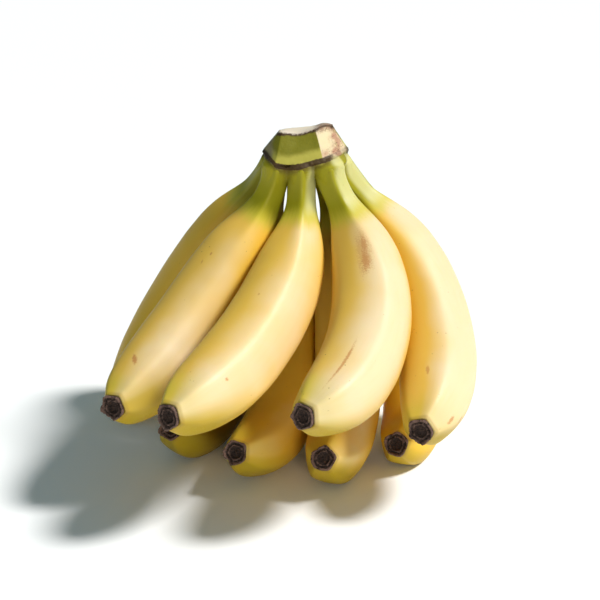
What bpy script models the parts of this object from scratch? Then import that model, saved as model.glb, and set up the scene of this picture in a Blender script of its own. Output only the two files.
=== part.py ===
import math

import bpy
from mathutils import Matrix, Vector

# Driving dimensions, in metres.
# X runs to the right, Y runs away from the front, Z runs up from the surface that the bunch rests on.
STEM_TOP = 0.128          # height at which the stems meet the crown, over the origin of the paths
STEM_TOP_SLOPE = -0.2     # the crown's underside falls towards the back
CROWN_TOP = 0.0148        # height of the cut face over STEM_TOP
CROWN_TOP_SLOPE = (0.09, -0.17)
CROWN_CORNERS = 2.6       # power of the crown's outline, 2 for an ellipse
GAP = 0.0003              # clearance between pieces that touch
PRESS_GAP = 0.0007        # clearance between two bananas that lean on each other
END_RADIUS = 0.0052       # dried flower end, to its points
END_THICKNESS = 0.0022
END_POINTS = 5
END_WAIST = 0.78          # how far its sides draw in between the points

# Height of a ridge as a share of the half thickness, on the full middle and added where it narrows
RIDGE_FULL = 0.030
RIDGE_NARROW = 0.045

# Mesh fineness
SIDES = 15                # corners round a banana, three to each of its five ridges
RINGS = 22
CROWN_SIDES = 20
PATH_STEPS = 240
PRESS_TRIES = 14
PRESS_STEP = 0.5
SHARP_ANGLE = 50

# Share of the full thickness along a banana, from the crown to the flower end
THICKNESS_PROFILE = (
    (0.00, 0.40), (0.06, 0.35), (0.12, 0.36), (0.16, 0.45), (0.20, 0.58), (0.25, 0.74), (0.31, 0.87),
    (0.40, 0.96), (0.52, 1.00), (0.68, 1.00), (0.79, 0.95), (0.87, 0.85), (0.93, 0.70), (0.97, 0.56),
    (1.00, 0.37),
)

# Level of the crown, centre x, centre y, half width, half depth
CROWN_LEVELS = (
    (0.00, 0.0003, 0.0030, 0.0172, 0.0176),
    (0.14, 0.0006, 0.0028, 0.0180, 0.0180),
    (0.32, 0.0009, 0.0024, 0.0184, 0.0172),
    (0.65, 0.0009, 0.0014, 0.0148, 0.0124),
    (1.00, 0.0006, 0.0005, 0.0116, 0.0080),
)

# Share of a flower end's thickness, and its spread there as a share of END_RADIUS
END_LEVELS = ((0.0, 0.88), (0.4, 1.0), (1.0, 0.82))

# Each banana: full thickness, turn of its ridges in degrees, and the control points of its centre line
BANANAS = {
    "1": (0.0300, 18, ((-0.013, 0.0035, STEM_TOP), (-0.022, 0.008, 0.112), (-0.036, 0.046, 0.090),
                       (-0.094, 0.048, -0.003), (-0.079, 0.012, 0.0095))),
    "2": (0.0330, 10, ((-0.0115, -0.008, STEM_TOP), (-0.012, -0.008, 0.112), (-0.034, -0.002, 0.084),
                       (-0.058, -0.042, 0.044), (-0.077, -0.076, 0.046))),
    "3": (0.0335, 0, ((-0.0018, -0.009, STEM_TOP), (-0.0015, -0.009, 0.112), (0.003, -0.012, 0.082),
                      (-0.024, -0.066, 0.052), (-0.052, -0.106, 0.055))),
    "4": (0.0340, -12, ((0.0097, -0.0085, STEM_TOP), (0.010, -0.009, 0.112), (0.044, -0.014, 0.084),
                        (0.030, -0.068, 0.050), (0.000, -0.106, 0.055))),
    "5": (0.0330, 8, ((0.0135, 0.0015, STEM_TOP), (0.017, 0.005, 0.112), (0.060, 0.015, 0.088),
                      (0.065, -0.040, 0.042), (0.0465, -0.088, 0.041))),
    "6": (0.0285, 20, ((-0.0115, 0.0148, STEM_TOP), (-0.020, 0.008, 0.070), (-0.038, 0.016, -0.018),
                       (-0.057, -0.042, 0.021))),
    "7": (0.0305, 0, ((-0.0025, 0.019, STEM_TOP), (0.000, 0.042, 0.072), (0.001, 0.003, -0.013),
                      (-0.0285, -0.064, 0.020))),
    "8": (0.0305, 12, ((0.0068, 0.019, STEM_TOP), (0.024, 0.022, 0.066), (0.022, -0.012, -0.0132),
                       (0.008, -0.068, 0.019))),
    "9": (0.0300, -8, ((0.0135, 0.0125, STEM_TOP), (0.053, 0.038, 0.078), (0.059, 0.008, -0.011),
                       (0.0395, -0.046, 0.0155))),
}

# Colour and roughness of each skin
CROWN_SKIN = ((0.30, 0.27, 0.06), 0.6)
PEEL_SKIN = ((0.86, 0.62, 0.13), 0.45)
HUSK_SKIN = ((0.035, 0.022, 0.016), 0.8)


def underside(y):
    """Height of the crown's underside at a depth y."""
    return STEM_TOP + STEM_TOP_SLOPE * y


def cut_face(x, y):
    """Height of the crown's cut face."""
    return STEM_TOP + CROWN_TOP + CROWN_TOP_SLOPE[0] * x + CROWN_TOP_SLOPE[1] * y


def thickness_share(along):
    """Share of the full thickness at a share of the length."""
    for (start, low), (end, high) in zip(THICKNESS_PROFILE, THICKNESS_PROFILE[1:]):
        if along <= end:
            blend = (along - start) / (end - start)
            return low + (high - low) * blend
    return THICKNESS_PROFILE[-1][1]


def curve_point(controls, t):
    """Point of the Bezier curve with these control points."""
    degree = len(controls) - 1
    point = Vector((0, 0, 0))
    for i, control in enumerate(controls):
        point += math.comb(degree, i) * t**i * (1 - t) ** (degree - i) * Vector(control)
    return point


def centre_line(controls, count):
    """Points evenly along the centre line, with the stem's top on the crown's underside."""
    controls = [Vector(point) for point in controls]
    controls[0].z = underside(controls[0].y) - GAP
    fine = [curve_point(controls, i / PATH_STEPS) for i in range(PATH_STEPS + 1)]
    reach = [0.0]
    for a, b in zip(fine, fine[1:]):
        reach.append(reach[-1] + (b - a).length)
    points = []
    j = 0
    for i in range(count):
        target = reach[-1] * i / (count - 1)
        while j < PATH_STEPS - 1 and reach[j + 1] < target:
            j += 1
        blend = (target - reach[j]) / (reach[j + 1] - reach[j])
        points.append(fine[j].lerp(fine[j + 1], blend))
    return points


def ridge_share(angle, along):
    """Five soft ridges, plainer on the full middle of the fruit."""
    height = RIDGE_FULL + RIDGE_NARROW * (1 - thickness_share(along))
    return 1 - height / 2 + height * math.cos(5 * angle)


def ring_frames(points):
    """For each point of a centre line: its direction, the way its outer curve faces, and its side."""
    start = (points[1] - points[0]).normalized()
    end = (points[-1] - points[-2]).normalized()
    side = start.cross(end).normalized()
    frames = []
    for i in range(len(points)):
        ahead = (points[min(i + 1, len(points) - 1)] - points[max(i - 1, 0)]).normalized()
        outward = side.cross(ahead).normalized() * -1
        frames.append((ahead, outward, ahead.cross(outward)))
    return frames


def banana_rings(thickness, turn, points):
    """Corners of each ring, before the neighbours press on it."""
    rings = []
    for i, (point, (_, outward, side)) in enumerate(zip(points, ring_frames(points))):
        along = i / (len(points) - 1)
        ring = []
        for k in range(SIDES):
            angle = 2 * math.pi * k / SIDES
            radius = thickness / 2 * thickness_share(along) * ridge_share(angle, along)
            around = angle + math.radians(turn)
            ring.append(point + radius * (math.cos(around) * outward + math.sin(around) * side))
        rings.append(ring)
    return rings


def press(corner, centre, neighbours):
    """Draw a corner in towards its own centre line until it clears the fruit beside it."""
    spoke = corner - centre
    for line, thickness in neighbours:
        share = 1.0
        for _ in range(PRESS_TRIES):
            probe = centre + spoke * share
            nearest = min(range(len(line)), key=lambda i: (line[i] - probe).length_squared)
            wall = thickness / 2 * thickness_share(nearest / (len(line) - 1))
            room = (line[nearest] - probe).length - wall
            own = spoke.length * (share - 1)
            if room - own >= PRESS_GAP:
                break
            share -= PRESS_STEP * (PRESS_GAP - room + own) / spoke.length
        spoke = spoke * share
    return centre + spoke


def banana_mesh(name, lines):
    """Rings of one banana, pressed by its neighbours and by the surface under it."""
    thickness, turn, controls = BANANAS[name]
    points = centre_line(controls, RINGS)
    neighbours = [(lines[other], BANANAS[other][0]) for other in BANANAS if other != name]
    rings = banana_rings(thickness, turn, points)
    for i, (point, ring) in enumerate(zip(points, rings)):
        for k, corner in enumerate(ring):
            corner = press(corner, point, neighbours)
            corner.z = max(corner.z, 0.0)
            if i == 0:
                corner.z = underside(corner.y) - GAP
            ring[k] = corner
    return points, rings


def loft(rings):
    """Vertices and faces of a closed skin over a row of rings."""
    sides = len(rings[0])
    vertices = [corner for ring in rings for corner in ring]
    faces = [tuple(reversed(range(sides)))]
    for i in range(len(rings) - 1):
        for k in range(sides):
            near = i * sides + k
            beside = i * sides + (k + 1) % sides
            faces.append((near, beside, beside + sides, near + sides))
    faces.append(tuple(range(len(vertices) - sides, len(vertices))))
    return vertices, faces


def add_object(name, rings, origin, turned, material, parent, offset):
    """One closed piece, its mesh measured from its own origin in the frame of its parent."""
    vertices, faces = loft(rings)
    inverse = Matrix.Translation(origin) @ turned
    inverse.invert()
    mesh = bpy.data.meshes.new(name)
    mesh.from_pydata([inverse @ corner for corner in vertices], [], faces)
    mesh.materials.append(material)
    mesh.shade_smooth()
    mesh.set_sharp_from_angle(angle=math.radians(SHARP_ANGLE))
    mesh.update()
    piece = bpy.data.objects.new(name, mesh)
    bpy.context.collection.objects.link(piece)
    piece.parent = parent
    piece.location = origin - offset
    piece.rotation_euler = turned.to_euler()
    return piece


def paint(name, skin):
    """A plain skin."""
    colour, roughness = skin
    material = bpy.data.materials.new(name)
    material.use_nodes = True
    shader = material.node_tree.nodes["Principled BSDF"]
    shader.inputs["Base Color"].default_value = (*colour, 1)
    shader.inputs["Roughness"].default_value = roughness
    shader.inputs["Metallic"].default_value = 0
    return material


def crown_rings():
    """Levels of the crown between its slanting underside and its slanting cut face."""
    rings = []
    for level, middle_x, middle_y, half_width, half_depth in CROWN_LEVELS:
        ring = []
        for k in range(CROWN_SIDES):
            angle = 2 * math.pi * k / CROWN_SIDES
            cosine = math.cos(angle)
            sine = math.sin(angle)
            power = abs(cosine) ** CROWN_CORNERS + abs(sine) ** CROWN_CORNERS
            radius = power ** (-1 / CROWN_CORNERS)
            x = middle_x + half_width * radius * cosine
            y = middle_y + half_depth * radius * sine
            ring.append(Vector((x, y, underside(y) * (1 - level) + cut_face(x, y) * level)))
        rings.append(ring)
    return rings


def end_rings(tip, ahead, outward, turn):
    """The dried flower end: a flat star whose points meet the ridges, widest just above its foot."""
    side = ahead.cross(outward)
    rings = []
    for level, spread in END_LEVELS:
        height = GAP + (END_THICKNESS - GAP) * level
        ring = []
        for k in range(2 * END_POINTS):
            angle = math.pi * k / END_POINTS + math.radians(turn)
            radius = END_RADIUS * spread * (1.0 if k % 2 == 0 else END_WAIST)
            ring.append(tip + height * ahead + radius * (math.cos(angle) * outward + math.sin(angle) * side))
        rings.append(ring)
    return rings


def build():
    """The crown, its bananas and their dried flower ends."""
    for old in list(bpy.data.objects):
        bpy.data.objects.remove(old)
    lines = {name: centre_line(entry[2], 3 * RINGS) for name, entry in BANANAS.items()}
    shapes = {}
    for name, entry in BANANAS.items():
        points, rings = banana_mesh(name, lines)
        ahead, outward, side = ring_frames(points)[-1]
        star = end_rings(points[-1], ahead, outward, entry[1])
        shapes[name] = (points, rings, star, Matrix((outward, side, ahead)).transposed().to_4x4())
    stalk = crown_rings()
    levels = list(stalk)
    for _, rings, star, _ in shapes.values():
        levels += rings + star
    corners = [corner for ring in levels for corner in ring]
    middle = Vector((
        (min(c.x for c in corners) + max(c.x for c in corners)) / 2,
        (min(c.y for c in corners) + max(c.y for c in corners)) / 2,
        0,
    ))
    bunch = bpy.data.objects.new("bunch", None)
    bpy.context.collection.objects.link(bunch)
    bunch.location = -middle
    unturned = Matrix.Identity(4)
    top = Vector((0, 0, STEM_TOP))
    crown_skin = paint("crown_skin", CROWN_SKIN)
    add_object("crown", stalk, top, unturned, crown_skin, bunch, Vector())
    for name, (points, rings, star, turned) in shapes.items():
        peel = paint(f"banana_{name}_skin", PEEL_SKIN)
        fruit = add_object(f"banana_{name}", rings, points[0], unturned, peel, bunch, Vector())
        husk = paint(f"blossom_end_{name}_husk", HUSK_SKIN)
        add_object(f"blossom_end_{name}", star, points[-1], turned, husk, fruit, points[0])


build()
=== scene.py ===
import math

import bpy
import numpy as np
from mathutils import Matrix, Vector, noise


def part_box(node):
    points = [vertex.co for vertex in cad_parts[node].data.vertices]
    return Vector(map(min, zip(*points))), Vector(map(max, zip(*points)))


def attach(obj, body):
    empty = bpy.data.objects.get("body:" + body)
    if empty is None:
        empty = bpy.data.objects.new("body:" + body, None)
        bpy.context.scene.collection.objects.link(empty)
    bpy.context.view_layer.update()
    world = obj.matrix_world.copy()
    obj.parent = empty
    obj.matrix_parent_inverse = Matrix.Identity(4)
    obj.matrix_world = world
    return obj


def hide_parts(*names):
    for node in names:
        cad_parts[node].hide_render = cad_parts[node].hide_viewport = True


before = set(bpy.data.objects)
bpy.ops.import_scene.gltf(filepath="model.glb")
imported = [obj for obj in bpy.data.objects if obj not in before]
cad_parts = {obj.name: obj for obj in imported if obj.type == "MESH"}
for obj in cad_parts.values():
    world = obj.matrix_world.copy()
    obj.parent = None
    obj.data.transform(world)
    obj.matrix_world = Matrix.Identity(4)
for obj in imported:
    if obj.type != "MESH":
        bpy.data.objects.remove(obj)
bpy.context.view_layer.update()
print("packed solids loaded")

# The fruits' paths are measured from the stalk, so the crown's box says where that is here
stalkInBox = (0.0175, 0.0152)
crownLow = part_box("crown")[0]
pathOrigin = Vector((crownLow.x + stalkInBox[0], crownLow.y + stalkInBox[1], 0))

# The slanting face under the crown, where the stems begin
underside = {"height": 0.128, "slope": -0.2, "gap": 0.0003}

fruitShape = {
    "sides": 60,
    "rings": 76,
    "lineSteps": 600,       # along a path, to even out its points
    "linePoints": 220,
    "sharpness": 12,        # of the corners of the five-sided section
    "meanReach": 1.072,     # of that section before it is evened out
    "ridgeFull": 0.32,      # how much of the five-sided shape shows on the full middle
    "ridgeNarrow": 1.0,     # and where the fruit narrows
    "ridgeFade": (0.45, 0.5),
    "lumps": 0.014,
    "lumpScale": (0.9, 5),  # round the fruit and along it
    "lumpFade": (0.4, 0.4),
    "touchGap": 0.0005,
    "nearby": 0.03,         # neighbours further off than this never touch
    "pressRounds": 14,
    # the direction of the key light, which the painted light and shade on the peel and stems face
    "sunnySide": (0.70, -0.45, 0.55),
    "crowdReach": 0.006,
    # painted shade, dark gold under the tips: how softly it starts, how strong it is, from where and over how
    # much
    "underSoft": 0.6,
    "underMost": 0.85,
    "underFrom": 0.76,
    "underOver": 0.15,
    # the flower end rolls over and dips to the dried flower, as lift and growth of each further ring
    "cap": [(0.003, 0.94), (0.0, 0.90), (-0.003, 0.88), (-0.004, 0.80), (-0.002, 0.5), (0, 0.3)],
    # share of the full thickness along a fruit, from the crown to the flower end
    "thickness": [
        (0.00, 0.41), (0.06, 0.35), (0.12, 0.36), (0.16, 0.45), (0.20, 0.58), (0.25, 0.74), (0.31, 0.87),
        (0.40, 0.96), (0.52, 1.00), (0.68, 1.00), (0.79, 0.95), (0.87, 0.85), (0.93, 0.70), (0.97, 0.54),
        (1.00, 0.31),
    ],
}

# Thickness, turn of the ridges in degrees, path from the stalk, and how golden, green and worn the peel is.
# The gold is partly painted shade: fruits that sit in shade at the back and low down are painted deeper gold.
# The last value, where given, is painted shade: for fruit 6 a darkening all over, for fruits 2 and 3 how far
# the painted shade under the tip comes up the front.
fruits = {
    "1": {"thick": 0.0300, "turn": 18, "seed": 11, "gold": 0.80, "green": 0.9, "wear": 0.4,
          "path": [(-0.013, 0.0035, 0), (-0.022, 0.008, 0.112), (-0.036, 0.046, 0.090),
                   (-0.094, 0.048, -0.003), (-0.079, 0.012, 0.0095)]},
    "2": {"thick": 0.0330, "turn": 10, "seed": 23, "gold": 0.45, "green": 1.0, "wear": 0.7, "tipShadeRise": 1.0,
          "path": [(-0.0115, -0.008, 0), (-0.012, -0.008, 0.112), (-0.034, -0.002, 0.084),
                   (-0.058, -0.042, 0.044), (-0.077, -0.076, 0.046)]},
    "3": {"thick": 0.0335, "turn": 0, "seed": 37, "gold": 0.50, "green": 1.0, "wear": 0.4, "tipShadeRise": 0.40,
          "path": [(-0.0018, -0.009, 0), (-0.0015, -0.009, 0.112), (0.003, -0.012, 0.082),
                   (-0.024, -0.066, 0.052), (-0.052, -0.106, 0.055)]},
    "4": {"thick": 0.0340, "turn": -12, "seed": 41, "gold": 0.40, "green": 1.0, "wear": 0.9,
          "path": [(0.0097, -0.0085, 0), (0.010, -0.009, 0.112), (0.044, -0.014, 0.084),
                   (0.030, -0.068, 0.050), (0.000, -0.106, 0.055)]},
    "5": {"thick": 0.0330, "turn": 8, "seed": 59, "gold": 0.42, "green": 0.8, "wear": 0.5,
          "path": [(0.0135, 0.0015, 0), (0.017, 0.005, 0.112), (0.060, 0.015, 0.088),
                   (0.065, -0.040, 0.042), (0.0465, -0.088, 0.041)]},
    "6": {"thick": 0.0285, "turn": 20, "seed": 67, "gold": 0.85, "green": 0.9, "wear": 0.3, "shadeAllOver": 0.85,
          "path": [(-0.0115, 0.0148, 0), (-0.020, 0.008, 0.070), (-0.038, 0.016, -0.018),
                   (-0.057, -0.042, 0.021)]},
    "7": {"thick": 0.0305, "turn": 0, "seed": 71, "gold": 0.75, "green": 0.9, "wear": 0.3,
          "path": [(-0.0025, 0.019, 0), (0.000, 0.042, 0.072), (0.001, 0.003, -0.013),
                   (-0.0285, -0.064, 0.020)]},
    "8": {"thick": 0.0305, "turn": 12, "seed": 83, "gold": 0.62, "green": 0.8, "wear": 0.3,
          "path": [(0.0068, 0.019, 0), (0.024, 0.022, 0.066), (0.022, -0.012, -0.0132),
                   (0.008, -0.068, 0.019)]},
    "9": {"thick": 0.0300, "turn": -8, "seed": 97, "gold": 0.85, "green": 0.8, "wear": 0.3,
          "path": [(0.0135, 0.0125, 0), (0.053, 0.038, 0.078), (0.059, 0.008, -0.011),
                   (0.0395, -0.046, 0.0155)]},
}

# Marks on the peel: share along, turns round from the inner curve, length and width in metres, slant
# and strength
peelMarks = {
    "2": [(0.862, 0.011, 0.0085, 0.0026, -0.70, 0.80), (0.370, 0.016, 0.0020, 0.0012, -0.2, 0.7),
          (0.410, 0.030, 0.0030, 0.0010, -0.3, 0.6)],
    "3": [(0.843, -0.144, 0.0018, 0.0018, 0.0, 0.7), (0.50, -0.02, 0.0016, 0.0012, 0.0, 0.5)],
    "4": [(0.335, -0.084, 0.026, 0.0070, 0.21, 0.40), (0.372, -0.074, 0.014, 0.0036, 0.21, 0.60),
          (0.300, -0.100, 0.010, 0.0030, 0.21, 0.50),
          (0.835, -0.047, 0.031, 0.0014, -0.02, 0.70)],
    "5": [(0.836, -0.004, 0.0060, 0.0018, -0.1, 0.55), (0.950, -0.244, 0.0045, 0.0022, -0.5, 0.7),
          (0.915, -0.290, 0.0038, 0.0016, -0.5, 0.6)],
    "8": [(0.80, 0.06, 0.006, 0.0012, 0.3, 0.4)],
}


def deselectAll():
    bpy.ops.object.select_all(action="DESELECT")


def onlySelect(piece):
    deselectAll()
    piece.select_set(True)
    bpy.context.view_layer.objects.active = piece


def applyModifier(piece, kind, **settings):
    onlySelect(piece)
    modifier = piece.modifiers.new(kind.lower(), kind)
    for key, value in settings.items():
        setattr(modifier, key, value)
    bpy.ops.object.modifier_apply(modifier=modifier.name)


def copyPiece(piece, name):
    onlySelect(piece)
    bpy.ops.object.duplicate()
    twin = bpy.context.object
    twin.name = name
    twin.data.name = name
    return twin


def readPlaces(piece):
    places = np.zeros(len(piece.data.vertices) * 3)
    piece.data.vertices.foreach_get("co", places)
    return places.reshape(-1, 3)


def writePlaces(piece, places):
    piece.data.vertices.foreach_set("co", places.astype(np.float32).ravel())
    piece.data.update()


def writeShare(piece, name, values):
    share = piece.data.attributes.new(name, "FLOAT", "POINT")
    share.data.foreach_set("value", values.astype(np.float32))


def thicknessAt(along):
    places, shares = zip(*fruitShape["thickness"])
    spread = (-0.018, -0.009, 0.0, 0.009, 0.018)  # rounds the corners of the profile
    return sum(np.interp(np.clip(along + d, 0, 1), places, shares) for d in spread) / len(spread)


def fruitLine(path, count):
    points = [Vector(p) for p in path]
    points[0].z = underside["height"] + underside["slope"] * points[0].y - underside["gap"]
    degree = len(points) - 1
    steps = np.linspace(0, 1, fruitShape["lineSteps"])
    fine = np.zeros((len(steps), 3))
    for i, point in enumerate(points):
        weight = math.comb(degree, i) * steps**i * (1 - steps) ** (degree - i)
        fine += weight[:, None] * np.array(point)
    reach = np.concatenate([[0], np.cumsum(np.linalg.norm(np.diff(fine, axis=0), axis=1))])
    wanted = np.linspace(0, reach[-1], count)
    line = np.stack([np.interp(wanted, reach, fine[:, k]) for k in range(3)], axis=1)
    return line + np.array(pathOrigin), reach[-1]


def lineFrames(line):
    ahead = np.gradient(line, axis=0)
    ahead /= np.linalg.norm(ahead, axis=1)[:, None]
    side = np.cross(ahead[0], ahead[-1])
    side /= np.linalg.norm(side)
    outward = -np.cross(side, ahead)
    outward /= np.linalg.norm(outward, axis=1)[:, None]
    return ahead, outward, np.cross(ahead, outward)


def alongLine(share, values):
    at = np.linspace(0, 1, len(values))
    return np.stack([np.interp(share, at, values[:, k]) for k in range(3)], axis=1)


def unitSpokes(spokes):
    return spokes / np.maximum(np.linalg.norm(spokes, axis=1), 1e-6)[:, None]


# How far each spoke faces the key light, for the painted light and shade
def sunnyShare(spokes):
    # taken round the centre line and not from the surface, so that it passes softly over the ridges
    towards = np.array(fruitShape["sunnySide"]) / np.linalg.norm(fruitShape["sunnySide"])
    return unitSpokes(spokes) @ towards


def ridgeShape(angle, along):
    power = fruitShape["sharpness"]
    faces = [math.pi / 5 + k * 2 * math.pi / 5 for k in range(5)]
    total = sum(np.clip(np.cos(angle - face), 0, 1) ** power for face in faces)
    shape = total ** (-1 / power) / fruitShape["meanReach"]
    start, over = fruitShape["ridgeFade"]
    full = np.clip((thicknessAt(along) - start) / over, 0, 1)
    gain = fruitShape["ridgeNarrow"] + (fruitShape["ridgeFull"] - fruitShape["ridgeNarrow"]) * full
    return 1 + gain * (shape - 1)


def modelStraightFruit():
    # One straight fruit, 1 high and 1 in half thickness, bent to its length and place later
    deselectAll()
    rings = fruitShape["rings"]
    step = 1 / (rings - 1)
    shares = [float(thicknessAt(i * step)) for i in range(rings)]
    bpy.ops.mesh.primitive_circle_add(vertices=fruitShape["sides"], radius=shares[0], fill_type="NGON")
    fruit = bpy.context.object
    bpy.ops.object.mode_set(mode="EDIT")
    bpy.ops.mesh.select_mode(type="FACE")
    bpy.ops.mesh.select_all(action="SELECT")
    for i in range(1, rings):
        bpy.ops.mesh.extrude_region_move(TRANSFORM_OT_translate={"value": (0, 0, step)})
        grow = shares[i] / shares[i - 1]
        bpy.ops.transform.resize(value=(grow, grow, 1), center_override=(0, 0, i * step))
    for lift, grow in fruitShape["cap"]:
        bpy.ops.mesh.extrude_region_move(TRANSFORM_OT_translate={"value": (0, 0, lift)})
        bpy.ops.transform.resize(value=(grow, grow, 1), center_override=(0, 0, 1))
    bpy.ops.mesh.select_all(action="SELECT")
    bpy.ops.mesh.normals_make_consistent(inside=False)
    bpy.ops.object.mode_set(mode="OBJECT")
    return fruit


def pressAgainst(corners, centres, name, lines):
    # Draws in what a neighbour leans on, each fruit giving way as much as the other
    spokes = corners - centres
    for other, (line, _) in lines.items():
        if other == name:
            continue
        walls = fruits[other]["thick"] / 2 * thicknessAt(np.linspace(0, 1, len(line)))
        share = np.ones(len(corners))
        length = np.linalg.norm(spokes, axis=1)
        apart = np.linalg.norm(corners[:, None] - line[None, ::6], axis=2)
        near = np.min(apart, axis=1) < fruitShape["nearby"]
        for _ in range(fruitShape["pressRounds"]):
            busy = np.flatnonzero(near)
            if not len(busy):
                break
            probe = centres[busy] + spokes[busy] * share[busy, None]
            gaps = np.linalg.norm(probe[:, None] - line[None], axis=2)
            nearest = gaps.argmin(axis=1)
            room = gaps[np.arange(len(busy)), nearest] - walls[nearest]
            own = length[busy] * (share[busy] - 1)
            short = fruitShape["touchGap"] - room + own
            share[busy] -= np.where(short > 0, 0.5 * short / length[busy], 0)
            near[busy] = short > 0
        spokes = spokes * share[:, None]
    return centres + spokes


def bendFruit(fruit, name, lines):
    plan = fruits[name]
    line, length = lines[name]
    ahead, outward, side = lineFrames(line)
    straight = readPlaces(fruit)
    along = straight[:, 2]
    inside = np.clip(along, 0, 1)
    angle = np.arctan2(straight[:, 1], straight[:, 0])
    reach = np.hypot(straight[:, 0], straight[:, 1])
    centres = alongLine(inside, line)
    out = alongLine(inside, outward)
    across = alongLine(inside, side)
    forward = alongLine(inside, ahead)
    wide, tall = fruitShape["lumpScale"]
    lumps = np.array([
        noise.noise(Vector((math.cos(a) * wide, math.sin(a) * wide, s * tall)) + Vector((plan["seed"], 0, 0)))
        for a, s in zip(angle, inside)
    ])
    start, over = fruitShape["lumpFade"]
    swell = np.clip((thicknessAt(inside) - start) / over, 0, 1)
    radius = plan["thick"] / 2 * reach * ridgeShape(angle, inside) * (1 + fruitShape["lumps"] * lumps * swell)
    around = angle + math.radians(plan["turn"])
    spokes = radius[:, None] * (np.cos(around)[:, None] * out + np.sin(around)[:, None] * across)
    corners = centres + spokes
    body = along <= 1.0
    corners[body] = pressAgainst(corners[body], centres[body], name, lines)
    corners += ((along - inside) * length)[:, None] * forward
    corners[:, 2] = np.maximum(corners[:, 2], 0.0)
    writePlaces(fruit, corners)
    writeShare(fruit, "along", inside)
    writeShare(fruit, "mapX", np.cos(angle) * plan["thick"] / 2)
    writeShare(fruit, "mapY", np.sin(angle) * plan["thick"] / 2)
    writeShare(fruit, "mapZ", inside * length)
    # the marks need a flat map: turns round from the inner curve and share along, its seam on the outer curve
    places = fruit.data.uv_layers.new(name="peelMap")
    turns = (angle + math.radians(plan["turn"])) / (2 * math.pi) % 1.0
    for face in fruit.data.polygons:
        loops = list(face.loop_indices)
        values = [turns[fruit.data.loops[i].vertex_index] for i in loops]
        overSeam = max(values) - min(values) > 0.5
        for i, value in zip(loops, values):
            u = value + 1 if overSeam and value < 0.5 else value
            places.data[i].uv = (u - 0.5, inside[fruit.data.loops[i].vertex_index])
    # how close the neighbours are, from 1 where they touch; the peel and stems are painted darker and more
    # golden there as painted shade
    room = np.full(len(corners), 1.0)
    for other, (theirs, _) in lines.items():
        if other != name:
            walls = fruits[other]["thick"] / 2 * thicknessAt(np.linspace(0, 1, len(theirs)))
            gaps = np.linalg.norm(corners[:, None] - theirs[None, ::4], axis=2) - walls[None, ::4]
            room = np.minimum(room, gaps.min(axis=1))
    writeShare(fruit, "crowd", np.exp(-np.clip(room, 0, 1) / fruitShape["crowdReach"]))
    writeShare(fruit, "sunny", sunnyShare(spokes))
    # the painted shade under the tip: strongest where the surface faces down near the tip
    drop = np.clip((plan.get("tipShadeRise", 0) - unitSpokes(spokes)[:, 2]) / fruitShape["underSoft"], 0, 1)
    nearTip = np.clip((inside - fruitShape["underFrom"]) / fruitShape["underOver"], 0, 1)
    writeShare(fruit, "under", fruitShape["underMost"] * drop * nearTip)
    applyModifier(fruit, "SUBSURF", levels=1, render_levels=1)
    onlySelect(fruit)
    bpy.ops.object.shade_smooth()


# Node shorthand for the finishes
def putNode(tree, kind, values=None, **settings):
    node = tree.nodes.new(kind)
    for key, value in settings.items():
        setattr(node, key, value)
    for key, value in (values or {}).items():
        if isinstance(value, bpy.types.NodeSocket):
            tree.links.new(value, node.inputs[key])
        else:
            node.inputs[key].default_value = value
    return node


def readShare(tree, name):
    return putNode(tree, "ShaderNodeAttribute", attribute_name=name).outputs["Fac"]


def sumOf(tree, kind, a, b=0.0):
    return putNode(tree, "ShaderNodeMath", {0: a, 1: b}, operation=kind).outputs[0]


def times(tree, a, b):
    return sumOf(tree, "MULTIPLY", a, b)


def plus(tree, a, b):
    return sumOf(tree, "ADD", a, b)


def swing(tree, value, span):
    # A noise turned into a shift about nought
    return times(tree, sumOf(tree, "SUBTRACT", value, 0.5), span)


def fitRange(tree, value, low, high, toLow=0.0, toHigh=1.0):
    node = putNode(tree, "ShaderNodeMapRange", {0: value, 1: low, 2: high, 3: toLow, 4: toHigh},
                   interpolation_type="SMOOTHSTEP")
    return node.outputs[0]


def mixColour(tree, share, a, b):
    node = tree.nodes.new("ShaderNodeMix")
    node.data_type = "RGBA"
    for slot, value in ((0, share), (6, a), (7, b)):
        if isinstance(value, bpy.types.NodeSocket):
            tree.links.new(value, node.inputs[slot])
        elif slot == 0:
            node.inputs[0].default_value = value
        else:
            node.inputs[slot].default_value = (*value, 1)
    return node.outputs[2]


def noiseAt(tree, vector, scale, detail=3.0, rough=0.5):
    node = putNode(tree, "ShaderNodeTexNoise", {"Vector": vector, "Scale": scale, "Detail": detail,
                                                "Roughness": rough})
    return node.outputs[0]


def moveMap(tree, vector, how, value):
    return putNode(tree, "ShaderNodeMapping", {"Vector": vector, how: value}).outputs[0]


def newMaterial(name):
    material = bpy.data.materials.new(name)
    material.use_nodes = True
    return material, material.node_tree, material.node_tree.nodes["Principled BSDF"]


def setInputs(node, values):
    for key, value in values.items():
        node.inputs[key].default_value = value


def addRelief(tree, shader, height, strength, distance):
    bump = putNode(tree, "ShaderNodeBump", {"Height": height, "Strength": strength, "Distance": distance})
    tree.links.new(bump.outputs[0], shader.inputs["Normal"])


def stemColour(tree):
    # Green on the stems and on their roots in the crown, with painted light on the side that faces the key
    # light and painted shade between neighbours
    lit = fitRange(tree, readShare(tree, "sunny"), *peelPaint["stemLit"])
    colour = mixColour(tree, lit, peelTone["stem"], peelTone["stemLit"])
    deep = fitRange(tree, readShare(tree, "crowd"), *peelPaint["stemShade"])
    return mixColour(tree, deep, colour, peelTone["stemShade"])


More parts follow.
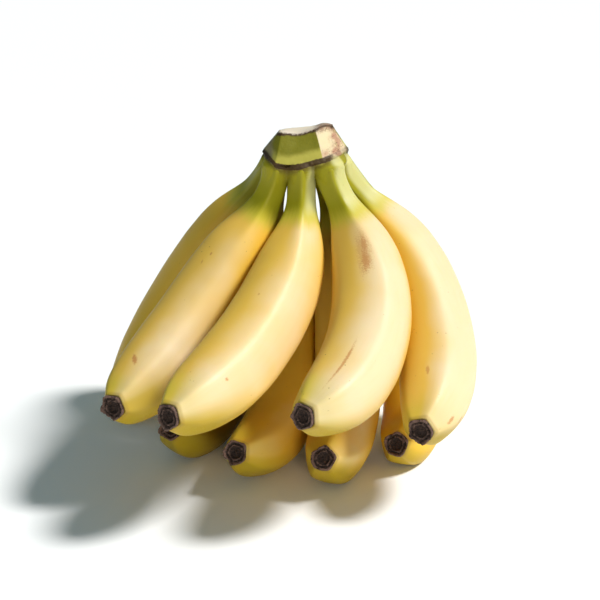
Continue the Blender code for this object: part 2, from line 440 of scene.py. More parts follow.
peelTone = {
    "pale": (0.77, 0.60, 0.36),
    "softGold": (0.74, 0.46, 0.075),
    "gold": (0.84, 0.49, 0.030),
    # painted shade: under is the dark gold under the tips, deep the gold where neighbours come close
    "under": (0.42, 0.28, 0.006),
    "deep": (0.74, 0.42, 0.016),
    "shade": (0.13, 0.080, 0.004),
    "streak": (0.70, 0.40, 0.04),
    "stem": (0.32, 0.285, 0.003),
    "stemShade": (0.10, 0.080, 0.002),
    "stemLit": (0.64, 0.60, 0.26),
    "neck": (0.56, 0.46, 0.040),
    "tip": (0.56, 0.48, 0.04),
    "lip": (0.34, 0.21, 0.03),
    "freckle": (0.16, 0.06, 0.012),
    "bruise": (0.48, 0.19, 0.05),
}

# How the peel is painted. A noise is its scale, detail and roughness.
# A span is where a colour starts and where it ends, then its share at each.
peelPaint = {
    "seedStep": 0.37,
    "drawnOut": (1, 1, 0.12),       # the streaks run along the fruit
    "broadNoise": (38, 2),
    "streakNoise": (420, 4, 0.6),
    "fineNoise": (1500, 3),
    # the tone, from gold to pale: painted light on the lit side, painted shade away from it and near
    # neighbours, and random tone
    "toneSwing": 0.6,
    "toneSunny": 0.9,
    "toneCrowd": 0.75,
    "toneGold": 1.2,
    "plainGold": 0.45,
    "ripeOver": 0.4,
    "gold": (0.94, 0.18),
    "deep": (0.38, 0.95, 0.0, 0.75),
    "streak": (0.4, 0.75, 0.0, 0.06),
    # green at the stem and the tip
    "edgeSwings": (0.03, 0.05),
    "neck": (0.16, 0.225, 1.0, 0.0),
    "stem": (0.12, 0.185, 1.0, 0.0),
    "stemLit": (0.66, 0.90, 0.0, 0.75),
    "stemShade": (0.45, 1.0, 0.0, 0.6),
    "tipSwing": 0.12,
    "tip": (0.87, 0.99),
    "tipMost": 0.60,
    "tipSunny": (0.9, 0.1, 0.45, 1.0),
    "lip": (0.990, 1.0, 0.0, 0.45),
    # freckles and marks
    "freckleCells": 330,
    "freckle": (0.06, 0.13, 1.0, 0.0),
    "groupNoise": (75, 2),
    "group": (0.55, 0.68),
    "markSwings": (1.6, 1.2),
    "mark": (0.45, 1.25),
    # the surface
    "rough": (0.3, 0.7, 0.40, 0.54),
    "relief": (0.6, 0.4),
    "bump": (0.06, 0.0004),
    "waxy": {"Specular IOR Level": 0.25, "Subsurface Weight": 0.18, "Subsurface Radius": (1.0, 0.55, 0.12),
             "Subsurface Scale": 0.003, "Coat Weight": 0.05, "Coat Roughness": 0.35},
}


def peelFinish(name, length):
    plan = fruits[name]
    paint = peelPaint
    material, tree, shader = newMaterial(f"peel{name}")
    along = readShare(tree, "along")
    parts = {0: readShare(tree, "mapX"), 1: readShare(tree, "mapY"), 2: readShare(tree, "mapZ")}
    rolled = putNode(tree, "ShaderNodeCombineXYZ", parts).outputs[0]
    rolled = moveMap(tree, rolled, "Location", (plan["seed"] * paint["seedStep"], 0, 0))
    streaked = moveMap(tree, rolled, "Scale", paint["drawnOut"])
    broad = noiseAt(tree, rolled, *paint["broadNoise"])
    streaks = noiseAt(tree, streaked, *paint["streakNoise"])
    fine = noiseAt(tree, rolled, *paint["fineNoise"])
    # painted light and shade: the sides facing the key light are painted pale, the sides turned away and
    # those close to a neighbour golden, with random tone on top
    sunny = readShare(tree, "sunny")
    crowd = readShare(tree, "crowd")
    tone = plus(tree, swing(tree, broad, paint["toneSwing"]), times(tree, sunny, paint["toneSunny"]))
    tone = plus(tree, tone, (paint["plainGold"] - plan["gold"]) * paint["toneGold"])
    tone = sumOf(tree, "SUBTRACT", tone, times(tree, crowd, paint["toneCrowd"]))
    ripe = min(max((plan["gold"] - paint["plainGold"]) / paint["ripeOver"], 0), 1)
    gold = [a + (b - a) * ripe for a, b in zip(peelTone["softGold"], peelTone["gold"])]
    colour = mixColour(tree, fitRange(tree, tone, *paint["gold"]), peelTone["pale"], gold)
    # painted shade: deeper gold where a neighbour comes close
    colour = mixColour(tree, fitRange(tree, crowd, *paint["deep"]), colour, peelTone["deep"])
    # painted shade: fruit 6 is darkened all over
    if "shadeAllOver" in plan:
        colour = mixColour(tree, plan["shadeAllOver"], colour, peelTone["shade"])
    colour = mixColour(tree, fitRange(tree, streaks, *paint["streak"]), colour, peelTone["streak"])
    # green at the stem and the tip, its edge broken by streaks
    byStreaks, byBroad = paint["edgeSwings"]
    wobble = plus(tree, swing(tree, streaks, byStreaks), swing(tree, broad, byBroad))
    reach = plus(tree, along, wobble)
    colour = mixColour(tree, fitRange(tree, reach, *paint["neck"]), colour, peelTone["neck"])
    colour = mixColour(tree, fitRange(tree, reach, *paint["stem"]), colour, stemColour(tree))
    tipEdge = plus(tree, reach, swing(tree, broad, paint["tipSwing"]))
    tip = fitRange(tree, tipEdge, *paint["tip"], 0.0, paint["tipMost"] * plan["green"])
    # painted light: the green at the tip is thinner on the lit side
    tip = times(tree, tip, fitRange(tree, sunny, *paint["tipSunny"]))
    colour = mixColour(tree, tip, colour, peelTone["tip"])
    # painted shade: dark gold under the tips
    colour = mixColour(tree, readShare(tree, "under"), colour, peelTone["under"])
    # a tan edge round the dried flower
    colour = mixColour(tree, fitRange(tree, along, *paint["lip"]), colour, peelTone["lip"])
    # freckles, in loose groups
    spread = {"Vector": rolled, "Scale": paint["freckleCells"], "Randomness": 1.0}
    cells = putNode(tree, "ShaderNodeTexVoronoi", spread)
    dots = fitRange(tree, cells.outputs["Distance"], *paint["freckle"])
    groups = fitRange(tree, noiseAt(tree, rolled, *paint["groupNoise"]), *paint["group"], 0.0, plan["wear"])
    colour = mixColour(tree, times(tree, dots, groups), colour, peelTone["freckle"])
    # bruises and scratches
    flat = putNode(tree, "ShaderNodeUVMap", uv_map="peelMap").outputs[0]
    girth = math.pi * plan["thick"]
    byFine, byStreaks = paint["markSwings"]
    for place, turns, long, wide, slant, strength in peelMarks.get(name, []):
        spot = moveMap(tree, flat, "Location", (-turns, -place, 0))
        spot = moveMap(tree, spot, "Scale", (girth, length, 1))
        spot = moveMap(tree, spot, "Rotation", (0, 0, slant))
        spot = moveMap(tree, spot, "Scale", (2 / wide, 2 / long, 1))
        far = putNode(tree, "ShaderNodeVectorMath", {0: spot}, operation="LENGTH").outputs["Value"]
        ragged = plus(tree, plus(tree, far, swing(tree, fine, byFine)), swing(tree, streaks, byStreaks))
        mark = fitRange(tree, ragged, *paint["mark"], strength, 0.0)
        colour = mixColour(tree, mark, colour, peelTone["bruise"])
    tree.links.new(colour, shader.inputs["Base Color"])
    tree.links.new(fitRange(tree, fine, *paint["rough"]), shader.inputs["Roughness"])
    setInputs(shader, paint["waxy"])
    deep, shallow = paint["relief"]
    relief = plus(tree, times(tree, streaks, deep), times(tree, fine, shallow))
    addRelief(tree, shader, relief, *paint["bump"])
    return material


# The cut crown: a block trimmed by these cuts, each a direction that it faces and a point on it
crownShape = {
    "block": ((-0.0190, -0.0168, 0.1200), (0.0198, 0.0208, 0.1480)),
    "top": ((-0.09, 0.17, 1.0), (0, 0, 0.1430)),
    "front": ((0.05, -0.888, 0.46), (0, -0.0148, 0.1300)),
    "frontFoot": ((0.02, -0.985, 0.17), (0, -0.0153, 0.1330)),
    "right": ((0.586, -0.645, 0.492), (0.0049, -0.0080, 0.1425)),
    "rightSide": ((0.835, -0.02, 0.55), (0.0116, 0, 0.1438)),
    "rightFoot": ((0.985, 0, -0.17), (0.0186, 0, 0.1330)),
    "left": ((-0.64, -0.61, 0.47), (-0.0100, -0.0092, 0.1420)),
    "leftSide": ((-0.767, 0.10, 0.642), (-0.0106, 0, 0.1424)),
    "leftFoot": ((-0.985, 0, -0.17), (-0.0175, 0, 0.1330)),
    "leftBack": ((-0.70, 0.50, 0.52), (-0.0100, 0.0045, 0.1412)),
    "back": ((0.05, 0.84, 0.54), (0, 0.0085, 0.1412)),
    "rightBack": ((0.62, 0.60, 0.50), (0.0095, 0.0060, 0.1425)),
    "grain": 0.00040,       # size of the cells that join the crown and the stems
    "stubSteps": 8,
    "stubReach": 0.0135,    # how far the stems' roots run down from the crown
    "stubFull": 0.98,       # their thickness, as a share of the stems'
    "stubOver": 0.00055,    # and how much they stand over it at the top
    "stubUnder": 0.0007,    # and lie under it at the foot
    "webs": (0.0006, 0.0015),   # how high over the rim they start, and over what height they grow soft
    "webRounds": 34,
    "edgeRounds": 2,
    "roughScale": 900,
    "broadScale": 260,
    "ledgeHigh": 0.0008,
    "tornWide": 0.0011,
    # how far the surface stands out: the rim, the torn edge of the cut, the grit all over and the bumps
    # above the rim
    "ledge": 0.00060,
    "torn": 0.00022,
    "grit": 0.00006,
    "bumps": 0.00016,
}
crownSides = ("front", "frontFoot", "right", "rightSide", "rightFoot", "left", "leftSide", "leftFoot",
              "leftBack", "back", "rightBack")


def cutAway(facing, at):
    # Keeps what lies behind one cut, and closes it
    bpy.ops.mesh.select_all(action="SELECT")
    bpy.ops.mesh.bisect(plane_co=Vector(at) + pathOrigin, plane_no=facing, use_fill=True, clear_outer=True)


def modelBlock():
    low, high = (Vector(corner) for corner in crownShape["block"])
    deselectAll()
    bpy.ops.mesh.primitive_cube_add(size=1, location=(low + high) / 2 + pathOrigin)
    block = bpy.context.object
    bpy.ops.object.mode_set(mode="EDIT")
    bpy.ops.mesh.select_all(action="SELECT")
    bpy.ops.transform.resize(value=high - low, center_override=(low + high) / 2 + pathOrigin)
    for side in crownSides + ("top",):
        cutAway(*crownShape[side])
    cutAway((0, underside["slope"], -1), (0, 0, underside["height"] - underside["gap"]))
    bpy.ops.object.mode_set(mode="OBJECT")
    return block


def modelStub(name, lines):
    # The root of one stem: it starts inside the block and ends inside the stem
    line, length = lines[name]
    _, outward, side = lineFrames(line)
    thick = fruits[name]["thick"]
    deselectAll()
    bpy.ops.mesh.primitive_circle_add(vertices=20, radius=thick * 0.2, fill_type="NGON")
    stub = bpy.context.object
    bpy.ops.object.mode_set(mode="EDIT")
    bpy.ops.mesh.select_all(action="SELECT")
    for _ in range(crownShape["stubSteps"]):
        bpy.ops.mesh.extrude_region_move(TRANSFORM_OT_translate={"value": (0, 0, 1)})
    bpy.ops.object.mode_set(mode="OBJECT")
    places = readPlaces(stub)
    level = np.round(places[:, 2]).astype(int)
    angle = np.arctan2(places[:, 1], places[:, 0])
    down = np.clip((level - 1) / (crownShape["stubSteps"] - 1), 0, 1)
    share = down * crownShape["stubReach"] / length
    centre = alongLine(share, line)
    inset = crownShape["stubOver"] - down * (crownShape["stubOver"] + crownShape["stubUnder"])
    radius = thick / 2 * thicknessAt(share) * crownShape["stubFull"] + inset
    # the first ring stays inside the block
    centre[level == 0] += np.array((0, 0, 0.003))
    radius[level == 0] *= 0.6
    out = alongLine(share, outward)
    across = alongLine(share, side)
    spokes = np.cos(angle)[:, None] * out + np.sin(angle)[:, None] * across
    writePlaces(stub, centre + radius[:, None] * spokes)
    onlySelect(stub)
    bpy.ops.object.mode_set(mode="EDIT")
    bpy.ops.mesh.select_all(action="SELECT")
    bpy.ops.mesh.normals_make_consistent(inside=False)
    bpy.ops.object.mode_set(mode="OBJECT")
    return stub


def awayFrom(places, side):
    # How far each corner stands out of one cut, minus inside it
    facing, at = crownShape[side]
    facing = np.array(facing) / np.linalg.norm(facing)
    return (places - np.array(Vector(at) + pathOrigin)) @ facing


def rimHeight(x, y):
    # The dried rim runs round the crown in a wave, lowest left of the middle
    wave = 0.0026 * np.clip((x + 0.002) / 0.012, 0, 1) ** 1.5 + 0.0034 * np.clip((x - 0.010) / 0.008, 0, 1)
    wave = wave + 0.0052 * np.clip((-x - 0.0120) / 0.0055, 0, 1)
    dip = 0.0012 * np.exp(-((x + 0.0062) / 0.0055) ** 2)
    return underside["height"] + underside["slope"] * y + wave - dip - 0.0004


def cutWave(x, y):
    # The cut sags in front of the middle and stands up at its right end
    sag = -0.0016 * np.exp(-((x + 0.0028) / 0.0058) ** 2) * np.clip((0.004 - y) / 0.010, 0, 1)
    rise = 0.0011 * np.exp(-((x - 0.0085) / 0.0036) ** 2)
    return sag + rise


def modelCrown(lines):
    crown = modelBlock()
    stubs = [modelStub(name, lines) for name in fruits]
    onlySelect(crown)
    for stub in stubs:
        stub.select_set(True)
    bpy.ops.object.join()
    crown.name = "crownCut"
    crown.data.name = "crownCut"
    bpy.ops.object.transform_apply(location=True, rotation=True, scale=True)
    crown.data.remesh_voxel_size = crownShape["grain"]
    bpy.ops.object.voxel_remesh()
    print("crown joined,", len(crown.data.vertices), "corners")
    places = readPlaces(crown)
    local = places - np.array(pathOrigin)
    lift = local[:, 2] - rimHeight(local[:, 0], local[:, 1])
    # webs between the stems, softer the further down; the cut edges are softened once
    webs = crown.vertex_groups.new(name="webs")
    start, over = crownShape["webs"]
    for i, value in enumerate(np.clip((start - lift) / over, 0, 1)):
        if value > 0.01:
            webs.add([i], float(value), "REPLACE")
    applyModifier(crown, "SMOOTH", factor=0.5, iterations=crownShape["webRounds"], vertex_group="webs")
    applyModifier(crown, "SMOOTH", factor=0.5, iterations=crownShape["edgeRounds"])
    places = readPlaces(crown)
    normals = np.zeros(len(places) * 3)
    crown.data.vertices.foreach_get("normal", normals)
    normals = normals.reshape(-1, 3)
    local = places - np.array(pathOrigin)
    lift = local[:, 2] - rimHeight(local[:, 0], local[:, 1])
    away = {side: awayFrom(places, side) for side in crownSides + ("top",)}
    # how far each corner lies from the nearest edge between two cuts
    edge = -np.sort(np.stack(list(away.values())), axis=0)[-2]
    rough = np.array([noise.noise(Vector(p) * crownShape["roughScale"]) for p in places])
    broad = np.array([noise.noise(Vector(p) * crownShape["broadScale"] + Vector((7, 0, 0))) for p in places])
    ledge = np.exp(-(lift / crownShape["ledgeHigh"]) ** 2) * (0.8 + 0.7 * rough + 0.4 * broad)
    wide = crownShape["tornWide"]
    torn = np.clip(1 - np.abs(away["top"]) / wide, 0, 1) * np.clip(1 - edge / wide, 0, 1)
    flat = normals * np.array((1, 1, 0.25))
    outwards = np.clip(1 - np.abs(normals[:, 2]) ** 3, 0, 1)
    push = crownShape["ledge"] * ledge * outwards + crownShape["torn"] * torn * (0.4 + rough)
    push += crownShape["grit"] * rough
    push += crownShape["bumps"] * broad * np.clip(lift / 0.002, 0, 1)
    places = places + flat * push[:, None]
    places[:, 2] += cutWave(local[:, 0], local[:, 1]) * np.clip((local[:, 2] - 0.1355) / 0.0055, 0, 1)
    writePlaces(crown, places)
    writeShare(crown, "lift", lift)
    writeShare(crown, "edge", edge)
    writeShare(crown, "topAway", away["top"])
    writeShare(crown, "rightAway", np.maximum(away["right"], away["rightSide"]))
    writeShare(crown, "leftAway", np.maximum(away["left"], away["leftSide"]))
    writeShare(crown, "across", local[:, 0])
    # for the painted light and shade of the stems' roots: taken round the nearest stem's centre line, as on
    # the stem itself, so that the two meet without a seam
    best = np.full(len(places), 1.0)
    spoke = np.zeros_like(places)
    crowd = np.zeros(len(places))
    for name, (line, _) in lines.items():
        root = line[:40]  # the stem's part of the line
        gaps = np.linalg.norm(places[:, None] - root[None], axis=2)
        nearest = gaps.argmin(axis=1)
        walls = fruits[name]["thick"] / 2 * thicknessAt(nearest / (len(line) - 1))
        room = gaps[np.arange(len(places)), nearest] - walls
        closer = room < best
        crowd = np.where(closer, best, np.minimum(crowd, room))
        best = np.where(closer, room, best)
        spoke[closer] = (places - root[nearest])[closer]
    writeShare(crown, "sunny", sunnyShare(spoke))
    writeShare(crown, "crowd", np.exp(-np.clip(crowd, 0, 1) / fruitShape["crowdReach"]))
    writeShare(crown, "backAway", np.maximum(away["back"], away["rightBack"]))
    writeShare(crown, "frontAway", np.maximum(away["front"], away["frontFoot"]))
    onlySelect(crown)
    bpy.ops.object.shade_smooth()
    return crown


crownTone = {
    "skin": (0.180, 0.162, 0.003),
    "skinFibre": (0.15, 0.15, 0.006),
    "skinPale": (0.48, 0.42, 0.070),
    "band": (0.060, 0.032, 0.006),
    "stain": (0.085, 0.045, 0.010),
    "cream": (0.68, 0.56, 0.34),
    "creamFibre": (0.76, 0.60, 0.34),
    "strip": (0.33, 0.27, 0.05),
    "cut": (0.82, 0.70, 0.55),
    "cutDeep": (0.74, 0.60, 0.44),
    "pink": (0.46, 0.25, 0.15),
    "tear": (0.24, 0.120, 0.070),
    "grey": (0.20, 0.165, 0.095),
    "rim": (0.055, 0.026, 0.008),
    "dark": (0.020, 0.012, 0.008),
}

# How the crown is painted, as in peelPaint. Most spans are metres: over the rim, out of a cut, or across.
crownPaint = {
    "drawnOut": (1, 1, 0.16),
    "broadNoise": (210, 3),
    "fineNoise": (1500, 4, 0.6),
    "fibreNoise": (950, 4, 0.6),
    "raggedSwing": 0.0016,
    "wanderSwing": 0.0030,
    "skinFibres": (0.35, 0.75, 0.0, 0.45),
    "palerBand": (0.0066, 0.0035, 0.0, 0.8),
    "greyCorner": (-0.0120, -0.0148, 0.0, 0.9),
    # the cream cut on the right
    "creamFibres": (0.45, 0.72, 0.0, 0.5),
    "stripAt": 0.0056,
    "strip": (0.0006, 0.0002, 0.0, 1.0),
    "stripMost": 0.7,
    "pinkLow": (0.0060, 0.0015),
    "pinkRight": (0.0095, 0.0125),
    "mottles": (0.42, 0.60, 0.25, 1.0),
    "specks": (0.55, 0.68),
    "creamFront": (-0.0001, 0.0001),
    "creamLeft": (-0.006, -0.008),
    "creamBack": (-0.0008, -0.0030),
    # the cut face, its edge and its torn end
    "cutMottles": (0.4, 0.7, 0.0, 0.5),
    "bareRagged": 0.6,
    "bare": (-0.0009, -0.0003),
    "lipAt": 0.0009,
    "lip": (0.0010, 0.0003),
    "lipEdge": (0.0016, 0.0006),
    "tearRight": (0.0030, 0.0065),
    "tearTop": (-0.0038, -0.0014),
    "tearMottles": (0.36, 0.58, 0.25, 0.95),
    "crease": (0.0007, 0.0001, 0.0, 0.35),
    # the stems' roots, the stain on them and the rim
    "under": (0.0002, -0.0018),
    "stain": (-0.0042, -0.0016, 0.0, 0.6),
    "stainRight": (0.0125, 0.0095, 0.2, 1.0),
    "rimRagged": 0.8,
    "rim": (0.0015, 0.0009),
    "rimRight": (0.0125, 0.0100, 0.25, 1.0),
    "rimLine": (0.0006, 0.0010),
    "lineMottles": (0.38, 0.55, 0.3, 1.0),
    "farLeft": (-0.0135, -0.0165),
    "farRight": (0.0160, 0.0185),
    "cornerRim": (0.0026, 0.0010),
    "cornerMottles": (0.32, 0.55, 0.35, 0.95),
    # the surface
    "rough": (0.3, 0.7, 0.5, 0.75),
    "relief": 0.5,
    "bump": (0.35, 0.0004),
    "dry": {"Specular IOR Level": 0.3, "Subsurface Weight": 0.08, "Subsurface Radius": (1.0, 0.6, 0.2),
            "Subsurface Scale": 0.0015},
}


def crownFinish():
    paint = crownPaint
    material, tree, shader = newMaterial("crown")
    where = putNode(tree, "ShaderNodeTexCoord").outputs["Object"]
    broad = noiseAt(tree, where, *paint["broadNoise"])
    fine = noiseAt(tree, where, *paint["fineNoise"])
    fibres = noiseAt(tree, moveMap(tree, where, "Scale", paint["drawnOut"]), *paint["fibreNoise"])
    ragged = swing(tree, fine, paint["raggedSwing"])
    wander = swing(tree, broad, paint["wanderSwing"])
    lift = readShare(tree, "lift")
    across = readShare(tree, "across")
    topAway = readShare(tree, "topAway")
    frontAway = readShare(tree, "frontAway")
    wavyLift = plus(tree, lift, wander)
    wavyAcross = plus(tree, across, wander)
    roughEdge = plus(tree, readShare(tree, "edge"), ragged)

    def span(value, name):
        return fitRange(tree, value, *paint[name])

    # olive skin, paler in a band over the rim
    colour = mixColour(tree, span(fibres, "skinFibres"), crownTone["skin"], crownTone["skinFibre"])
    colour = mixColour(tree, span(wavyLift, "palerBand"), colour, crownTone["skinPale"])
    # the grey left corner
    colour = mixColour(tree, span(wavyAcross, "greyCorner"), colour, crownTone["grey"])
    # the cream cut on the right, with a tan strip in it, pink and speckled low down and at its far end
    cream = mixColour(tree, span(fibres, "creamFibres"), crownTone["cream"], crownTone["creamFibre"])
    strip = span(sumOf(tree, "ABSOLUTE", plus(tree, frontAway, paint["stripAt"])), "strip")
    cream = mixColour(tree, times(tree, strip, paint["stripMost"]), cream, crownTone["strip"])
    low = sumOf(tree, "MAXIMUM", span(wavyLift, "pinkLow"), span(wavyAcross, "pinkRight"))
    cream = mixColour(tree, times(tree, low, span(broad, "mottles")), cream, crownTone["pink"])
    cream = mixColour(tree, times(tree, low, span(fine, "specks")), cream, crownTone["rim"])
    right = span(sumOf(tree, "SUBTRACT", readShare(tree, "rightAway"), frontAway), "creamFront")
    right = times(tree, right, span(readShare(tree, "leftAway"), "creamLeft"))
    right = times(tree, right, span(readShare(tree, "backAway"), "creamBack"))
    colour = mixColour(tree, right, colour, cream)
    # the beige cut face
    cut = mixColour(tree, span(fine, "cutMottles"), crownTone["cut"], crownTone["cutDeep"])
    bare = span(plus(tree, topAway, times(tree, ragged, paint["bareRagged"])), "bare")
    colour = mixColour(tree, bare, colour, cut)
    # torn and brown in a wide strip at the cut's right end
    tear = times(tree, span(wavyAcross, "tearRight"), span(plus(tree, topAway, ragged), "tearTop"))
    tear = times(tree, tear, span(fine, "tearMottles"))
    colour = mixColour(tree, tear, colour, crownTone["tear"])
    # dried brown along the cut's edge and down the corners
    offCut = sumOf(tree, "ABSOLUTE", plus(tree, topAway, plus(tree, ragged, paint["lipAt"])))
    lip = times(tree, span(offCut, "lip"), span(roughEdge, "lipEdge"))
    colour = mixColour(tree, lip, colour, crownTone["rim"])
    colour = mixColour(tree, times(tree, span(roughEdge, "crease"), bare), colour, crownTone["rim"])
    # the stems' roots under the rim, stained brown at the top
    stain = times(tree, span(plus(tree, lift, ragged), "stain"), span(across, "stainRight"))
    stem = mixColour(tree, stain, stemColour(tree), crownTone["stain"])
    colour = mixColour(tree, span(wavyLift, "under"), colour, stem)
    # the rim: a brown band, with a darker line on each of its edges
    offRim = sumOf(tree, "ABSOLUTE", plus(tree, lift, times(tree, ragged, paint["rimRagged"])))
    rim = times(tree, span(offRim, "rim"), span(wavyAcross, "rimRight"))
    colour = mixColour(tree, rim, colour, crownTone["band"])
    line = times(tree, times(tree, rim, span(offRim, "rimLine")), span(broad, "lineMottles"))
    colour = mixColour(tree, line, colour, crownTone["rim"])
    # the left and right corners dry darkest
    corner = plus(tree, span(across, "farLeft"), span(across, "farRight"))
    corner = times(tree, times(tree, corner, span(offRim, "cornerRim")), span(fine, "cornerMottles"))
    colour = mixColour(tree, corner, colour, crownTone["dark"])
    tree.links.new(colour, shader.inputs["Base Color"])
    tree.links.new(span(fine, "rough"), shader.inputs["Roughness"])
    setInputs(shader, paint["dry"])
    relief = plus(tree, times(tree, fibres, paint["relief"]), times(tree, fine, paint["relief"]))
    addRelief(tree, shader, relief, *paint["bump"])
    return material


# The dried flower. Its section runs from the foot, over the spiky rim, down to the pit, as reach and
# height in metres.
flowerShape = {
    "sides": 60,
    "points": 5,
    "pointSharp": 1.6,
    "waist": 0.11,          # how far the sides draw in between the points
    "rimReach": 0.0050,
    "wildScale": 1.4,
    "wildTurn": 0.10,       # how far each point is turned, drawn out and raised by chance
    "wildReach": 0.10,
    "wildHeight": 0.0007,
    "crumbScale": 1300,
    "crumbReach": 0.035,
    "crumbHeight": 0.00045,
    "grow": 1.08,
    "section": [
        (0.0040, -0.0010), (0.0045, -0.0002), (0.0049, 0.0005), (0.0052, 0.0012), (0.0052, 0.0018),
        (0.0048, 0.0021), (0.0044, 0.0019), (0.0041, 0.0012), (0.0037, 0.0009), (0.0033, 0.0011),
        (0.0030, 0.0015), (0.0027, 0.0014), (0.0023, 0.0004), (0.0016, 0.0000), (0.0008, 0.0001),
        (0.0003, 0.0002),
    ],
}
flowerTone = {
    "pit": (0.010, 0.006, 0.005),
    "husk": (0.055, 0.029, 0.019),
    "rim": (0.17, 0.100, 0.075),
    "foot": (0.10, 0.055, 0.020),
}
flowerPaint = {
    "fineNoise": (1900, 4, 0.65),
    "broadNoise": (520, 3),
    "husk": (0.35, 0.65),
    "crumbSwing": 0.0012,
    "rim": (0.0009, 0.0018, 0.0, 0.9),
    "rimMottles": (0.32, 0.52),
    "foot": (0.0006, -0.0002, 0.0, 0.6),
    "footReach": (0.0038, 0.0042),
    "bump": (0.7, 0.0005),
    "dry": {"Roughness": 0.75, "Specular IOR Level": 0.25},
}


def modelFlower():
    # One dried flower over its own foot, copied to each tip later
    section = flowerShape["section"]
    deselectAll()
    bpy.ops.mesh.primitive_circle_add(vertices=flowerShape["sides"], radius=section[0][0], fill_type="NGON",
                                      location=(0, 0, section[0][1]))
    flower = bpy.context.object
    bpy.ops.object.mode_set(mode="EDIT")
    bpy.ops.mesh.select_mode(type="FACE")
    bpy.ops.mesh.select_all(action="SELECT")
    for (before, low), (reach, height) in zip(section, section[1:]):
        bpy.ops.mesh.extrude_region_move(TRANSFORM_OT_translate={"value": (0, 0, height - low)})
        bpy.ops.transform.resize(value=(reach / before, reach / before, 1), center_override=(0, 0, height))
    bpy.ops.mesh.select_all(action="SELECT")
    bpy.ops.mesh.normals_make_consistent(inside=False)
    bpy.ops.object.mode_set(mode="OBJECT")
    onlySelect(flower)
    bpy.ops.object.transform_apply(location=True, rotation=True, scale=True)
    applyModifier(flower, "SUBSURF", levels=1, render_levels=1)
    return flower


def placeFlower(flower, name, lines):
    plan = fruits[name]
    line, _ = lines[name]
    ahead, outward, side = (axis[-1] for axis in lineFrames(line))
    places = readPlaces(flower)
    reach = np.hypot(places[:, 0], places[:, 1])
    angle = np.arctan2(places[:, 1], places[:, 0])
    rim = np.clip(reach / flowerShape["rimReach"], 0, 1)
    shift = Vector((plan["seed"] * 1.7, 0, 0))
    wide = flowerShape["wildScale"]
    wild = np.array([noise.noise(Vector((math.cos(a) * wide, math.sin(a) * wide, 0)) + shift) for a in angle])
    crumbs = np.array([noise.noise(Vector(p) * flowerShape["crumbScale"] + shift) for p in places])
    # corners over the peel's ridges, each a little longer or shorter, with the sides drawn in between
    turned = angle + flowerShape["wildTurn"] * wild
    star = (0.5 + 0.5 * np.cos(flowerShape["points"] * turned)) ** flowerShape["pointSharp"]
    spread = 1 - flowerShape["waist"] * (1 - star) * (0.4 + 0.6 * rim)
    spread = spread + flowerShape["wildReach"] * wild * rim + flowerShape["crumbReach"] * crumbs
    stir = flowerShape["crumbHeight"] * crumbs
    stir = stir + flowerShape["wildHeight"] * (wild + 0.6 * star - 0.3) * rim**2
    height = places[:, 2] + stir * (places[:, 2] > 0)
    around = angle + math.radians(plan["turn"])
    spokes = np.cos(around)[:, None] * outward + np.sin(around)[:, None] * side
    corners = line[-1] + (flowerShape["grow"] * reach * spread)[:, None] * spokes + height[:, None] * ahead
    corners[:, 2] = np.maximum(corners[:, 2], 0.0)
    writePlaces(flower, corners)
    writeShare(flower, "reach", reach)
    writeShare(flower, "height", height)
    onlySelect(flower)
    bpy.ops.object.shade_smooth()


def flowerFinish():
    paint = flowerPaint
    material, tree, shader = newMaterial("driedFlower")
    where = putNode(tree, "ShaderNodeTexCoord").outputs["Object"]
    fine = noiseAt(tree, where, *paint["fineNoise"])
    broad = noiseAt(tree, where, *paint["broadNoise"])
    height = readShare(tree, "height")
    colour = mixColour(tree, fitRange(tree, fine, *paint["husk"]), flowerTone["pit"], flowerTone["husk"])
    # browner on the crumbs of the rim
    lit = fitRange(tree, plus(tree, height, swing(tree, fine, paint["crumbSwing"])), *paint["rim"])
    lit = times(tree, lit, fitRange(tree, broad, *paint["rimMottles"]))
    colour = mixColour(tree, lit, colour, flowerTone["rim"])
    # and where the foot meets the peel
    foot = fitRange(tree, height, *paint["foot"])
    foot = times(tree, foot, fitRange(tree, readShare(tree, "reach"), *paint["footReach"]))
    colour = mixColour(tree, foot, colour, flowerTone["foot"])
    tree.links.new(colour, shader.inputs["Base Color"])
    setInputs(shader, paint["dry"])
    addRelief(tree, shader, fine, *paint["bump"])
    return material


lines = {name: fruitLine(plan["path"], fruitShape["linePoints"]) for name, plan in fruits.items()}
crown = modelCrown(lines)
crown.data.materials.clear()
crown.data.materials.append(crownFinish())
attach(crown, "root")
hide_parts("crown")
print("crown finished")

oneFlower = modelFlower()
husk = flowerFinish()
for name in fruits:
    flower = copyPiece(oneFlower, f"driedFlower{name}")
    placeFlower(flower, name, lines)
    flower.data.materials.clear()
    flower.data.materials.append(husk)
    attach(flower, "root")
    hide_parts(f"blossom_end_{name}")
bpy.data.objects.remove(oneFlower)
print("dried flowers placed")

straight = modelStraightFruit()
print("one straight fruit modelled")
for name in fruits:
    fruit = copyPiece(straight, f"fruit{name}")
    bendFruit(fruit, name, lines)
    fruit.data.materials.clear()
    fruit.data.materials.append(peelFinish(name, lines[name][1]))
    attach(fruit, "root")
    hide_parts(f"banana_{name}")
    print("fruit", name, "bent and finished")
bpy.data.objects.remove(straight)


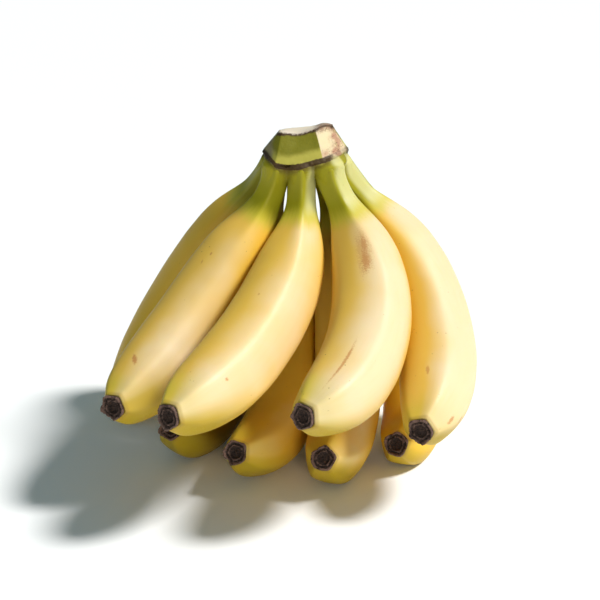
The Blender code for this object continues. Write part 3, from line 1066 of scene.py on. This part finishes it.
# Floor, light and camera
studio = {
    "floorSize": 8,
    "floorTone": (0.96, 0.96, 0.96, 1),
    "floorRough": 0.8,
    "sunFrom": (0.80, -0.07, 1.0),
    "sunPower": 3.85,
    "sunSpread": 13,
    "sunTone": (1.0, 0.99, 0.97),
    "sky": (0.25, 0.37, 0.40),
    "skyPower": 0.50,
    "fillFrom": (0.25, -1.10, 0.18),
    "fillSize": 0.3,
    "fillPower": 3.5,
    "cameraAt": (0, -0.6780, 0.3054),
    "cameraAim": (0, -0.0202, 0.0660),
    "lens": 97,
    "sensor": 36,
    "shift": (-0.008, 0.0217),
}


def setStudio():
    deselectAll()
    bpy.ops.mesh.primitive_plane_add(size=studio["floorSize"], location=(0, 0, -0.0002))
    floor = bpy.context.object
    floor.name = "floor"
    bpy.ops.object.transform_apply(location=True, rotation=True, scale=True)
    paper, _, shader = newMaterial("paper")
    setInputs(shader, {"Base Color": studio["floorTone"], "Roughness": studio["floorRough"]})
    floor.data.materials.append(paper)

    bpy.ops.object.light_add(type="SUN", location=(0.8, -0.3, 1.0))
    sun = bpy.context.object
    sun.rotation_euler = Vector(studio["sunFrom"]).to_track_quat("Z", "Y").to_euler()
    sun.data.energy = studio["sunPower"]
    sun.data.angle = math.radians(studio["sunSpread"])
    sun.data.color = studio["sunTone"]

    bpy.ops.object.light_add(type="AREA", location=studio["fillFrom"])
    fill = bpy.context.object
    fill.rotation_euler = Vector(studio["fillFrom"]).to_track_quat("Z", "Y").to_euler()
    fill.data.size = studio["fillSize"]
    fill.data.energy = studio["fillPower"]

    world = bpy.data.worlds.new("sky")
    bpy.context.scene.world = world
    world.use_nodes = True
    sky = world.node_tree.nodes["Background"]
    sky.inputs["Color"].default_value = (*studio["sky"], 1)
    sky.inputs["Strength"].default_value = studio["skyPower"]

    # the camera's place and aim are measured from the stalk, as the paths are
    bpy.ops.object.camera_add(location=pathOrigin + Vector(studio["cameraAt"]))
    camera = bpy.context.object
    aim = Vector(studio["cameraAt"]) - Vector(studio["cameraAim"])
    camera.rotation_euler = aim.to_track_quat("Z", "Y").to_euler()
    camera.data.lens = studio["lens"]
    camera.data.sensor_width = studio["sensor"]
    camera.data.shift_x, camera.data.shift_y = studio["shift"]
    bpy.context.scene.camera = camera
    bpy.context.scene.view_settings.view_transform = "Standard"
    print("studio set")


setStudio()
